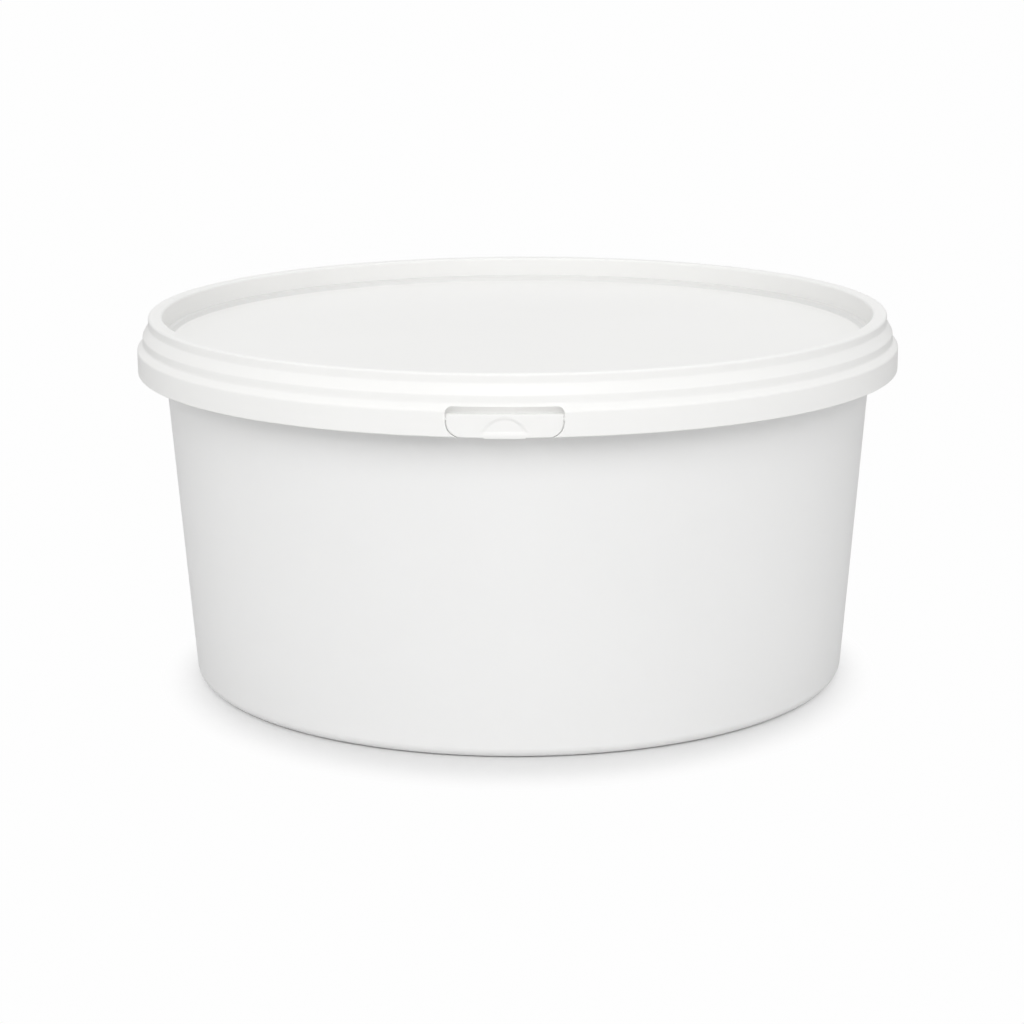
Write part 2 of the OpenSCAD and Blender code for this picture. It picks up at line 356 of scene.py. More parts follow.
@dataclass(frozen=True)
class WetPaste:
    """Ready-mixed filler: a dense, off-white paste with a damp sheen, pinholes and fine filler grains. Its
    colour carries painted shade, darker in the hollows of the drag marks and in the pinholes.
    """

    name: str = "filler_paste_damp"
    # The paste's two colours: the lighter one on the crests of the drag marks, the darker one in random
    # patches and, as painted shade, in the drag marks' hollows and the pinholes
    crest: tuple[float, float, float] = (0.82, 0.805, 0.765)
    darker_tone_and_painted_shade: tuple[float, float, float] = (0.74, 0.722, 0.675)
    refraction: float = 1.42
    damp_roughness: float = 0.36
    dry_roughness: float = 0.68
    patch_size: float = 26.0
    patch_tone: float = 0.5
    damp_from: float = 0.42
    damp_to: float = 0.6
    pinhole_gap: float = 5.5
    pinhole_size: float = 0.13
    pinhole_floor: float = 0.6
    pinhole_depth: float = 0.5
    # Painted shade: how much darker the pinholes are coloured
    pinhole_painted_shade: float = 0.15
    pinhole_gloss: float = 0.15
    grain_size: float = 0.45
    grain_height: float = 0.03
    drag_size: float = 3.2
    drag_height: float = 0.12
    # Painted shade: how much darker the drag marks' hollows are coloured
    drag_painted_shade: float = 0.35

    def material(self) -> Material:
        """Makes the material.

        Returns:
            The material, on Object coordinates.
        """
        material = bpy.data.materials.new(self.name)
        board = Board.emptied(material)
        place = board.add("ShaderNodeTexCoord").other("Object")
        patches = board.noise(place, self.patch_size, detail=4.0)
        damp = board.ramp(patches, ((self.damp_from, 0.0), (self.damp_to, 1.0)))
        grain = board.noise(place, self.grain_size, detail=3.0)
        drag = board.noise(place, self.drag_size, detail=4.0, Distortion=0.6)
        scale = 1 / (self.pinhole_gap * MM)
        cells = board.add("ShaderNodeTexVoronoi", sockets={"Vector": place, "Scale": scale})
        floor = self.pinhole_size * self.pinhole_floor
        pinhole = board.ramp(cells, ((floor, 1.0), (self.pinhole_size, 0.0)))
        # Random patches of tone, plus painted shade that colours the drag marks' hollows and the pinholes
        # darker
        light = patches * self.patch_tone + drag * self.drag_painted_shade + (1 - pinhole) * self.pinhole_painted_shade
        gloss = self.dry_roughness - damp * (self.dry_roughness - self.damp_roughness)
        height = drag * self.drag_height + grain * self.grain_height - pinhole * self.pinhole_depth
        shader = board.add(
            "ShaderNodeBsdfPrincipled",
            sockets={
                "Base Color": board.blend(light, opaque(self.darker_tone_and_painted_shade), opaque(self.crest)),
                "Roughness": gloss + pinhole * self.pinhole_gloss,
                "IOR": self.refraction,
                "Normal": board.bump(height),
            },
        )
        board.add("ShaderNodeOutputMaterial", sockets={"Surface": shader})
        return material


def link(name: str, mesh: Mesh) -> Object:
    """Puts a mesh into the scene.

    Args:
        name: The object's name.
        mesh: Its mesh.

    Returns:
        The object.
    """
    piece = bpy.data.objects.new(name, mesh)
    bpy.context.scene.collection.objects.link(piece)
    return piece


def close_up(name: str, build: BMesh) -> Object:
    """Merges doubles, turns faces outwards, shades them smooth and puts the mesh into the scene.

    Args:
        name: The object's and the mesh's name.
        build: The mesh under construction, which is used up.

    Returns:
        The object.
    """
    bmesh.ops.remove_doubles(build, verts=build.verts, dist=SAME_SPOT * MM)
    bmesh.ops.recalc_face_normals(build, faces=build.faces)
    for face in build.faces:
        face.smooth = True
    mesh = bpy.data.meshes.new(name)
    build.to_mesh(mesh)
    build.free()
    return link(name, mesh)


def modify(
    piece: Object, kind: str, settings: dict[str, object], inputs: dict[str, object] | None = None
) -> None:
    """Shapes a piece with a modifier and makes the result its mesh.

    Args:
        piece: The piece.
        kind: The modifier's type.
        settings: Its own settings by name.
        inputs: Values for the inputs of its geometry tree by name.
    """
    modifier = piece.modifiers.new(kind, kind)
    for name, value in settings.items():
        setattr(modifier, name, value)
    if inputs:
        for item in modifier.node_group.interface.items_tree:
            if item.name in inputs:
                modifier[item.identifier] = inputs[item.name]
    graph = bpy.context.evaluated_depsgraph_get()
    done = bpy.data.meshes.new_from_object(piece.evaluated_get(graph), depsgraph=graph)
    done.name = piece.name
    piece.modifiers.clear()
    piece.data = done


def new_tree(name: str, inputs: dict[str, str], result: str) -> NodeTree:
    """Makes an empty geometry tree.

    Args:
        name: The tree's name.
        inputs: The kinds of its inputs by name.
        result: The name of its result.

    Returns:
        The tree.
    """
    tree = bpy.data.node_groups.new(name, "GeometryNodeTree")
    for label, kind in inputs.items():
        tree.interface.new_socket(label, in_out="INPUT", socket_type=f"NodeSocket{kind}")
    tree.interface.new_socket(result, in_out="OUTPUT", socket_type="NodeSocketGeometry")
    return tree


def even_shading(piece: Object, crease: float = 40.0) -> None:
    """Shades a piece smooth, with large faces flat and edges over an angle in degrees sharp."""
    piece.data.set_sharp_from_angle(angle=math.radians(crease))
    modify(piece, "WEIGHTED_NORMAL", {"mode": "FACE_AREA", "weight": 100, "keep_sharp": True})


@dataclass(frozen=True)
class Corner:
    """A corner of a turned outline: distance from the axis, height and rounding."""

    r: float
    z: float
    rounding: float


def rounded(rounding: float, *places: tuple[float, float]) -> list[Corner]:
    """Gives corners with the same rounding at (distance from the axis, height) pairs."""
    return [Corner(r, z, rounding) for r, z in places]


class TurnedShell:
    """A closed shell turned round the tub's axis, from an outline with rounded corners."""

    STEPS = 384
    ROUNDING_STEPS = 6
    RING = 100.0
    WELD = 0.01

    def __init__(self) -> None:
        """Builds the geometry tree, with the two step counts and the material as named inputs."""
        steps = {"Steps round": "Int", "Steps in a rounding": "Int"}
        self.tree = new_tree("turned_shell", {"Outline": "Geometry", **steps, "Finish": "Material"}, "Shell")
        board = Board(self.tree)
        given = board.add("NodeGroupInput")
        curve = board.add("GeometryNodeMeshToCurve", sockets={"Mesh": given.other("Outline")})
        radius = board.add("GeometryNodeInputNamedAttribute", {"data_type": "FLOAT"}, {"Name": "rounding"})
        count = given.other("Steps in a rounding")
        soft = board.add(
            "GeometryNodeFilletCurve",
            {"mode": "POLY"},
            {"Curve": curve, "Count": count, "Radius": radius, "Limit Radius": True},
        )
        # The outline is drawn from the axis outwards, and the sweep adds the ring's radius to it
        count = given.other("Steps round")
        ring_r = self.RING * MM
        ring = board.add("GeometryNodeCurvePrimitiveCircle", sockets={"Resolution": count, "Radius": ring_r})
        offset = (-ring_r, 0.0, 0.0)
        beside = board.add("GeometryNodeSetPosition", sockets={"Geometry": soft, "Offset": offset})
        swept = board.add("GeometryNodeCurveToMesh", sockets={"Curve": ring, "Profile Curve": beside})
        weld = self.WELD * MM
        closed = board.add("GeometryNodeMergeByDistance", sockets={"Geometry": swept, "Distance": weld})
        outward = board.add("GeometryNodeFlipFaces", sockets={"Mesh": closed})
        board.hand_out("Shell", outward, given.other("Finish"))

    def make(self, name: str, corners: Sequence[Corner], finish: Material) -> Object:
        """Turns an outline into a closed shell.

        Args:
            name: The piece's name.
            corners: The outline, from the axis round to the axis again.
            finish: The shell's material.

        Returns:
            The piece, a plain mesh.
        """
        mesh = bpy.data.meshes.new(name)
        # A sweep along the ring turns the outline over, so its heights run down here
        points = [(corner.r * MM, -corner.z * MM, 0.0) for corner in corners]
        mesh.from_pydata(points, [(i, i + 1) for i in range(len(points) - 1)], [])
        rounding = mesh.attributes.new("rounding", "FLOAT", "POINT")
        for value, corner in zip(rounding.data, corners):
            value.value = corner.rounding * MM
        piece = link(name, mesh)
        values = {"Steps round": self.STEPS, "Steps in a rounding": self.ROUNDING_STEPS, "Finish": finish}
        modify(piece, "NODES", {"node_group": self.tree}, values)
        return piece


@dataclass
class Tub:
    """The tub: foot ring, raised floor, tapered wall, flange with its lip, and rim with the snap bead."""

    height: float = 94.5
    rim_r: float = 94.6
    rim_t: float = 1.1
    base_r: float = 85.8
    wall_t: float = 1.2
    floor_t: float = 1.3
    base_round: float = 3.0
    foot_w: float = 3.4
    floor_lift: float = 1.6
    gate_dish_r: float = 7.0
    gate_dish_depth: float = 0.4
    gate_dish_round: float = 0.15
    gate_stub_r: float = 1.3
    gate_stub_h: float = 0.3
    gate_stub_round: float = 0.12
    gate_foot_round: float = 0.1
    shoulder_w: float = 2.3
    flange_drop: float = 8.5
    flange_r: float = 95.315
    flange_t: float = 1.2
    lip_h: float = 3.6
    lip_t: float = 1.0
    bead_r: float = 96.1
    bead_drop: float = 3.9
    bead_face_h: float = 0.6
    edge_round: float = 0.5
    small_round: float = 0.25
    inner_round: float = 0.8
    finish: Plastic = Plastic("tub_plastic_satin", (0.86, 0.86, 0.855), 0.42)

    @property
    def flange_z(self) -> float:
        """Height of the flange's top."""
        return self.height - self.flange_drop

    @property
    def foot_in_r(self) -> float:
        """Inside radius of the foot ring."""
        return self.base_r - self.base_round - self.foot_w

    def wall_r(self, z: float) -> float:
        """Gives the outside radius of the tapered wall at a height."""
        draft = (self.rim_r - self.shoulder_w - self.base_r) / self.flange_z
        return self.base_r + draft * z

    def outline(self) -> list[Corner]:
        """Draws the outline from the axis, below the floor, round to the axis above it.

        Returns:
            The corners.
        """
        step = self.foot_in_r - self.floor_lift
        rim_in = self.rim_r - self.rim_t
        dish_z = self.floor_lift + self.gate_dish_depth
        stub_z = dish_z - self.gate_stub_h
        bead_top = self.height - self.bead_drop
        bead_foot = bead_top - self.bead_face_h
        bead_out = self.bead_r - self.rim_r
        flange_under = self.flange_z - self.flange_t
        lip_in = self.flange_r - self.lip_t
        lip_z = self.flange_z - self.lip_h
        floor_top = self.floor_lift + self.floor_t
        low_r = self.wall_r(self.floor_t) - self.wall_t
        high_r = self.wall_r(self.flange_z) - self.wall_t
        return [
            *rounded(0, (0, stub_z)),
            *rounded(self.gate_stub_round, (self.gate_stub_r, stub_z)),
            *rounded(self.gate_foot_round, (self.gate_stub_r, dish_z)),
            *rounded(self.gate_dish_round, (self.gate_dish_r, dish_z), (self.gate_dish_r, self.floor_lift)),
            *rounded(self.inner_round, (step, self.floor_lift)),
            *rounded(self.edge_round, (self.foot_in_r, 0)),
            *rounded(self.base_round, (self.base_r, 0)),
            *rounded(self.edge_round, (self.wall_r(flange_under), flange_under), (lip_in, flange_under)),
            *rounded(self.small_round, (lip_in, lip_z), (self.flange_r, lip_z)),
            *rounded(self.small_round, (self.flange_r, self.flange_z), (self.rim_r, self.flange_z)),
            *rounded(self.small_round, (self.rim_r, bead_foot - bead_out), (self.bead_r, bead_foot)),
            *rounded(self.small_round, (self.bead_r, bead_top)),
            *rounded(self.edge_round, (self.rim_r, bead_top + bead_out)),
            *rounded(self.small_round, (self.rim_r, self.height), (rim_in, self.height)),
            *rounded(self.inner_round, (rim_in, self.flange_z), (high_r, self.flange_z)),
            *rounded(self.base_round - self.wall_t, (low_r, self.floor_t)),
            *rounded(self.inner_round, (self.foot_in_r, self.floor_t), (step, floor_top)),
            *rounded(0, (0, floor_top)),
        ]

    def build(self, shell: TurnedShell) -> Object:
        """Makes the tub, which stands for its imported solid.

        Args:
            shell: The tree that turns outlines.

        Returns:
            The piece.
        """
        piece = shell.make("tub_shell", self.outline(), self.finish.material())
        even_shading(piece)
        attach(piece, Body.TUB.value)
        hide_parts("tub")
        return piece


def between(start: Vector, end: Vector, spacing: float) -> list[Vector]:
    """Gives evenly spaced points strictly between two points, at most the spacing apart."""
    parts = max(1, math.ceil((end - start).length / spacing))
    return [start.lerp(end, i / parts) for i in range(1, parts)]


def rounded_outline(
    corners: Sequence[tuple[float, float, float]], spacing: float, steps: int = 8
) -> list[Vector]:
    """Walks round a closed outline with rounded corners.

    Args:
        corners: The (across, up, rounding) of each corner.
        spacing: The longest straight stretch between two points.
        steps: Stretches in a rounding.

    Returns:
        The points in order.
    """
    points: list[Vector] = []
    for i, (x, z, rounding) in enumerate(corners):
        here = Vector((x, z))
        to_last = (Vector(corners[i - 1][:2]) - here).normalized()
        to_next = (Vector(corners[(i + 1) % len(corners)][:2]) - here).normalized()
        half = to_last.angle(to_next) / 2
        reach = rounding / math.tan(half)
        centre = here + (to_last + to_next).normalized() * rounding / math.sin(half)
        arm = here + to_last * reach - centre
        turn = arm.angle_signed(here + to_next * reach - centre)
        arc = [centre + Matrix.Rotation(-turn * step / steps, 2) @ arm for step in range(steps + 1)]
        if points:
            points.extend(between(points[-1], arc[0], spacing))
        points.extend(arc)
    points.extend(between(points[-1], points[0], spacing))
    return points


def shifted(points: Sequence[Vector], distance: float) -> list[Vector]:
    """Moves a closed outline, which runs anticlockwise, outwards along its normals.

    Args:
        points: Its points.
        distance: How far, or inwards if below zero.

    Returns:
        The moved points.
    """
    moved = []
    for i, point in enumerate(points):
        along = points[(i + 1) % len(points)] - points[i - 1]
        moved.append(point + Vector((along.y, -along.x)).normalized() * distance)
    return moved


def rounded_edge(radius: float, steps: int) -> list[tuple[float, float]]:
    """Steps round a quarter circle, as pairs from (0, radius) to (radius, 0)."""
    turns = [math.pi / 2 * step / steps for step in range(steps + 1)]
    return [(radius * (1 - math.cos(turn)), radius * (1 - math.sin(turn))) for turn in turns]


def join_rings(build: BMesh, near: Sequence[BMVert], far: Sequence[BMVert]) -> None:
    """Joins two closed rings of as many corners with faces.

    Args:
        build: The mesh under construction.
        near: The first ring.
        far: The second ring.
    """
    for i in range(len(near)):
        after = (i + 1) % len(near)
        build.faces.new((near[i], near[after], far[after], far[i]))


def add_loft(build: BMesh, rings: Sequence[Sequence[Vector]]) -> None:
    """Adds a closed solid that runs through rings of as many points each.

    Args:
        build: The mesh under construction.
        rings: The rings in order.
    """
    rows = [[build.verts.new(point) for point in ring] for ring in rings]
    for near, far in zip(rows, rows[1:]):
        join_rings(build, near, far)
    build.faces.new(rows[0])
    build.faces.new(rows[-1])


@dataclass
class Lid:
    """The lid: panel in a stepped well, ring over the rim, two tiers, and the skirt with the window."""

    top_z: float = 95.6
    ring_r: float = 96.0
    wall_t: float = 1.1
    top_t: float = 1.1
    tier_step: float = 1.5
    tier_1_h: float = 2.3
    slope_1_h: float = 2.6
    tier_2_h: float = 1.9
    slope_2_h: float = 1.6
    skirt_h: float = 6.0
    well_r: float = 92.3
    well_draft: float = 0.2
    well_depth: float = 6.3
    well_step_w: float = 1.3
    well_step_h: float = 1.1
    well_step_lean: float = 0.7
    panel_t: float = 1.1
    plug_r: float = 93.2
    snap_r: float = 95.6
    snap_z: float = 88.576
    snap_face_h: float = 0.5
    snap_slope: float = 0.5
    window_half_w: float = 13.65
    window_top_z: float = 88.2
    window_bottom_z: float = 81.05
    window_top_round: float = 1.5
    window_bottom_round: float = 3.65
    window_edge_round: float = 0.12
    window_spacing: float = 1.0
    window_cut_from: float = -2.0
    window_cut_to: float = 3.0
    ring_round: float = 0.7
    tier_round: float = 1.0
    skirt_round: float = 0.3
    small_round: float = 0.25
    step_round: float = 0.5
    inner_round: float = 0.8
    # The lid's plastic has painted shade in its well and a painted glow behind the tab's slot
    finish: Plastic = Plastic(
        "lid_plastic_satin", (0.89, 0.888, 0.875), 0.32, rings=PaintedWellShade(), glow=PaintedSlotGlow()
    )

    @property
    def skirt_r(self) -> float:
        """Outside radius of the skirt."""
        return self.ring_r + 2 * self.tier_step

    @property
    def skirt_top_z(self) -> float:
        """Height at which the second slope meets the skirt."""
        return self.top_z - self.tier_1_h - self.slope_1_h - self.tier_2_h - self.slope_2_h

    def wall_r(self, z: float) -> float:
        """Gives the radius of the outer wall's outside at a height, from the second tier down."""
        climb = min(max(z - self.skirt_top_z, 0.0), self.slope_2_h)
        return self.skirt_r - climb * self.tier_step / self.slope_2_h

    def outline(self) -> list[Corner]:
        """Draws the outline from the panel's top round to its underside.

        Returns:
            The corners.
        """
        tier_1_z = self.top_z - self.tier_1_h
        tier_2_z = tier_1_z - self.slope_1_h
        slope_2_z = tier_2_z - self.tier_2_h
        skirt_z = self.skirt_top_z - self.skirt_h
        tier_1_in = self.ring_r - self.wall_t
        tier_2_in = tier_1_in + self.tier_step
        skirt_in = self.skirt_r - self.wall_t
        panel_z = self.top_z - self.well_depth
        well_foot = self.well_r - self.well_draft
        step_z = panel_z + self.well_step_h
        step_r = well_foot - self.well_step_w
        panel_r = step_r - self.well_step_lean
        # The step is as thick as the panel, so its underside has the same step a little further out
        slant = math.hypot(self.well_step_lean, self.well_step_h)
        shift = self.panel_t * (slant - self.well_step_lean) / self.well_step_h
        snap_top = self.snap_z + self.snap_face_h
        rim_z = self.top_z - self.top_t
        under_step = step_z - self.panel_t
        under_panel = panel_z - self.panel_t
        tier_2_r = self.ring_r + self.tier_step
        return [
            *rounded(0, (0, panel_z)),
            *rounded(self.step_round, (panel_r, panel_z), (step_r, step_z), (well_foot, step_z)),
            *rounded(self.ring_round, (self.well_r, self.top_z), (self.ring_r, self.top_z)),
            *rounded(self.tier_round, (self.ring_r, tier_1_z), (tier_2_r, tier_2_z)),
            *rounded(self.tier_round, (tier_2_r, slope_2_z), (self.skirt_r, self.skirt_top_z)),
            *rounded(self.skirt_round, (self.skirt_r, skirt_z), (skirt_in, skirt_z)),
            *rounded(self.tier_round, (skirt_in, self.skirt_top_z)),
            *rounded(0, (self.wall_r(self.snap_z) - self.wall_t, self.snap_z)),
            *rounded(self.small_round, (self.snap_r, self.snap_z), (self.snap_r, snap_top)),
            *rounded(0, (tier_2_in, snap_top + (tier_2_in - self.snap_r) * self.snap_slope)),
            *rounded(self.tier_round, (tier_2_in, tier_2_z), (tier_1_in, tier_1_z)),
            *rounded(self.small_round, (tier_1_in, rim_z), (self.plug_r, rim_z)),
            *rounded(self.inner_round, (self.plug_r, under_step)),
            *rounded(self.step_round, (step_r + shift, under_step), (panel_r + shift, under_panel)),
            *rounded(0, (0, under_panel)),
        ]

    def on_wall(self, point: Vector, depth: float) -> Vector:
        """Finds a place of the front view on the outer wall, or below its outside, in metres."""
        radius = self.wall_r(point.y) - depth
        return Vector((point.x, -math.sqrt(radius**2 - point.x**2), point.y)) * MM

    def window_tool(self) -> Object:
        """Makes the solid that cuts the window, wider at its mouth, so the window's edge is round.

        Returns:
            The solid.
        """
        corners = (
            (-self.window_half_w, self.window_bottom_z, self.window_bottom_round),
            (self.window_half_w, self.window_bottom_z, self.window_bottom_round),
            (self.window_half_w, self.window_top_z, self.window_top_round),
            (-self.window_half_w, self.window_top_z, self.window_top_round),
        )
        outline = rounded_outline(corners, self.window_spacing)
        layers = [
            (self.window_cut_from, self.window_edge_round),
            *rounded_edge(self.window_edge_round, steps=4),
            (self.window_cut_to, 0.0),
        ]
        build = bmesh.new()
        add_loft(
            build,
            [[self.on_wall(point, depth) for point in shifted(outline, flare)] for depth, flare in layers],
        )
        return close_up("window_tool", build)

    def build(self, shell: TurnedShell, finish: Material) -> Object:
        """Makes the lid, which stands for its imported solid.

        Args:
            shell: The tree that turns outlines.
            finish: The lid's plastic.

        Returns:
            The piece.
        """
        piece = shell.make("lid_shell", self.outline(), finish)
        tool = self.window_tool()
        modify(piece, "BOOLEAN", {"operation": "DIFFERENCE", "solver": "EXACT", "object": tool})
        bpy.data.objects.remove(tool)
        even_shading(piece)
        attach(piece, Body.LID.value)
        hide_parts("lid")
        return piece


def ease(share: float) -> float:
    """Goes smoothly from 0 to 1 as the share goes from -1 to 1."""
    part = min(max((share + 1) / 2, 0.0), 1.0)
    return part * part * (3 - 2 * part)


def lattice(low: Vector, high: Vector, spacing: float) -> list[Vector]:
    """Spreads points evenly in a box, off its edges.

    Args:
        low: The box's lower left corner.
        high: The box's upper right corner.
        spacing: About how far apart they are.

    Returns:
        The points.
    """
    size = high - low
    columns, rows = (max(1, round(side / spacing)) for side in size)
    return [
        low + Vector((size.x * column / columns, size.y * row / rows))
        for column in range(1, columns)
        for row in range(1, rows)
    ]


def holds(outline: Sequence[Vector], point: Vector) -> bool:
    """Tells whether a closed outline has a point inside.

    Args:
        outline: The outline's points.
        point: The point.

    Returns:
        True if it is inside.
    """
    inside = False
    for i, here in enumerate(outline):
        last = outline[i - 1]
        if (here.y > point.y) != (last.y > point.y):
            across = here.x + (point.y - here.y) * (last.x - here.x) / (last.y - here.y)
            inside ^= point.x < across
    return inside


@dataclass
class Sheet:
    """A flat net: its points across and up, their depths, its faces, and the points on its edge."""

    points: list[Vector]
    depths: list[float]
    faces: list[tuple[int, ...]]
    edge: list[int]


@dataclass
class TearTab:
    """The piece of skirt in the window: a curved plate with a finger scoop and a lip in the middle."""

    lid: Lid
    half_w: float = 13.35
    top_z: float = 86.6
    bottom_z: float = 81.25
    corner_round: float = 3.35
    top_round: float = 0.25
    lip_half_w: float = 4.8
    lip_z: float = 81.0
    lip_round: float = 0.12
    edge_round: float = 0.1
    scoop_half_w: float = 5.0
    scoop_h: float = 3.2
    scoop_z: float = 82.4
    scoop_depth: float = 0.3
    scoop_soft: float = 0.36
    ledge_soft: float = 0.12
    spacing: float = 0.7
    fine_spacing: float = 0.22
    clear_share: float = 1 / 3

    def outline(self) -> list[Vector]:
        """Draws the tab's outline as seen from the front, anticlockwise.

        Returns:
            The points across and up.
        """
        left = (
            (-self.half_w, self.top_z, self.top_round),
            (-self.half_w, self.bottom_z, self.corner_round),
            (-self.lip_half_w, self.bottom_z, self.lip_round),
            (-self.lip_half_w, self.lip_z, self.lip_round),
        )
        right = tuple((-x, z, rounding) for x, z, rounding in reversed(left))
        # It starts at the lip's left corner
        return rounded_outline((left[-1], *right, *left[:-1]), self.spacing)

    def dip(self, point: Vector) -> float:
        """Gives the depth of the half-moon scoop, with a soft arch over a sharper ledge.

        Args:
            point: A place across and up, seen from the front.

        Returns:
            How deep the scoop is there, or 0 outside it.
        """
        radius = (self.scoop_half_w**2 + self.scoop_h**2) / (2 * self.scoop_h)
        centre = Vector((0.0, self.scoop_z + self.scoop_h - radius))
        under_arch = ease((radius - (point - centre).length) / self.scoop_soft)
        over_ledge = ease((point.y - self.scoop_z) / self.ledge_soft)
        return self.scoop_depth * under_arch * over_ledge

    def spots(self, scooped: bool) -> list[tuple[Vector, float]]:
        """Spreads points over the tab, closer together round the scoop.

        Args:
            scooped: Whether the side has the scoop.

        Returns:
            Each point across and up, with its depth.
        """
        low = Vector((-self.half_w, self.lip_z))
        plain = lattice(low, Vector((self.half_w, self.top_z)), self.spacing)
        if not scooped:
            return [(point, 0.0) for point in plain]
        soft = self.scoop_soft
        scoop_low = Vector((-self.scoop_half_w - soft, self.scoop_z - soft))
        scoop_high = Vector((self.scoop_half_w + soft, self.scoop_z + self.scoop_h + soft))
        apart = [
            (point, 0.0)
            for point in plain
            if abs(point.x) >= scoop_high.x or not scoop_low.y < point.y < scoop_high.y
        ]
        close = lattice(scoop_low, scoop_high, self.fine_spacing)
        return apart + [(point, self.dip(point)) for point in close]

    def sheet(self, outline: list[Vector], scooped: bool) -> Sheet:
        """Covers a side of the tab with triangles, which keep to the rings of its rounded edge.

        Args:
            outline: The tab's outline across and up.
            scooped: Whether the side has the scoop.

        Returns:
            The net.
        """
        points: list[Vector] = []
        depths: list[float] = []
        edges: list[tuple[int, int]] = []
        count = len(outline)
        for inset, depth in rounded_edge(self.edge_round, steps=3):
            first = len(points)
            points.extend(shifted(outline, -inset))
            depths.extend([depth] * count)
            edges.extend((first + i, first + (i + 1) % count) for i in range(count))
        rings = list(points)
        for point, depth in self.spots(scooped):
            clear = min((point - other).length for other in rings)
            if clear > self.spacing * self.clear_share and holds(points[:count], point):
                points.append(point)
                depths.append(depth)
        border = list(range(count))
        inside_only, tolerance = 1, 1e-6
        verts, _, faces, origin, _, _ = delaunay_2d_cdt(points, edges, [border], inside_only, tolerance)
        placed = {source: i for i, sources in enumerate(origin) for source in sources}
        return Sheet(
            points=list(verts),
            depths=[depths[sources[0]] for sources in origin],
            faces=[tuple(face) for face in faces],
            edge=[placed[i] for i in border],
        )

    def build(self, finish: Material) -> Object:
        """Makes the tab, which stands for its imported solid.

        Args:
            finish: The lid's plastic.

        Returns:
            The piece.
        """
        outline = self.outline()
        build = bmesh.new()
        edges = []
        for front in (True, False):
            sheet = self.sheet(outline, scooped=front)
            verts = []
            for point, depth in zip(sheet.points, sheet.depths):
                below = depth if front else self.lid.wall_t - depth
                verts.append(build.verts.new(self.lid.on_wall(point, below)))
            for face in sheet.faces:
                build.faces.new([verts[i] for i in face])
            edges.append([verts[i] for i in sheet.edge])
        join_rings(build, *edges)
        piece = close_up("tear_tab_plate", build)
        piece.data.materials.append(finish)
        even_shading(piece, crease=60.0)
        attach(piece, Body.TAB.value)
        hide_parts("tear_tab")
        return piece


@dataclass
class TearBridges:
    """The two round webs that the tab hangs on, a little necked in the middle, where they break."""

    inner_x: float = 13.35
    outer_x: float = 13.65
    y: float = -97.52
    z: float = 85.4
    end_r: float = 0.5
    neck_r: float = 0.44
    steps_round: int = 32
    steps_along: int = 8

    def ring(self, side: int, share: float) -> list[Vector]:
        """Draws a round section of a web.

        Args:
            side: -1 on the left and 1 on the right.
            share: How far along the web it is.

        Returns:
            The points in metres.
        """
        radius = self.end_r - (self.end_r - self.neck_r) * math.sin(math.pi * share)
        x = side * (self.inner_x + (self.outer_x - self.inner_x) * share)
        turns = [math.tau * turn / self.steps_round for turn in range(self.steps_round)]
        return [
            Vector((x, self.y + radius * math.cos(turn), self.z + radius * math.sin(turn))) * MM
            for turn in turns
        ]

    def build(self, finish: Material) -> Object:
        """Makes both webs as one piece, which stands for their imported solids.

        Args:
            finish: The lid's plastic.

        Returns:
            The piece.
        """
        build = bmesh.new()
        shares = [step / self.steps_along for step in range(self.steps_along + 1)]
        for side in (-1, 1):
            add_loft(build, [self.ring(side, share) for share in shares])
        piece = close_up("tear_webs", build)
        piece.data.materials.append(finish)
        even_shading(piece)
        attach(piece, Body.LID.value)
        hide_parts("tear_bridges")
        return piece


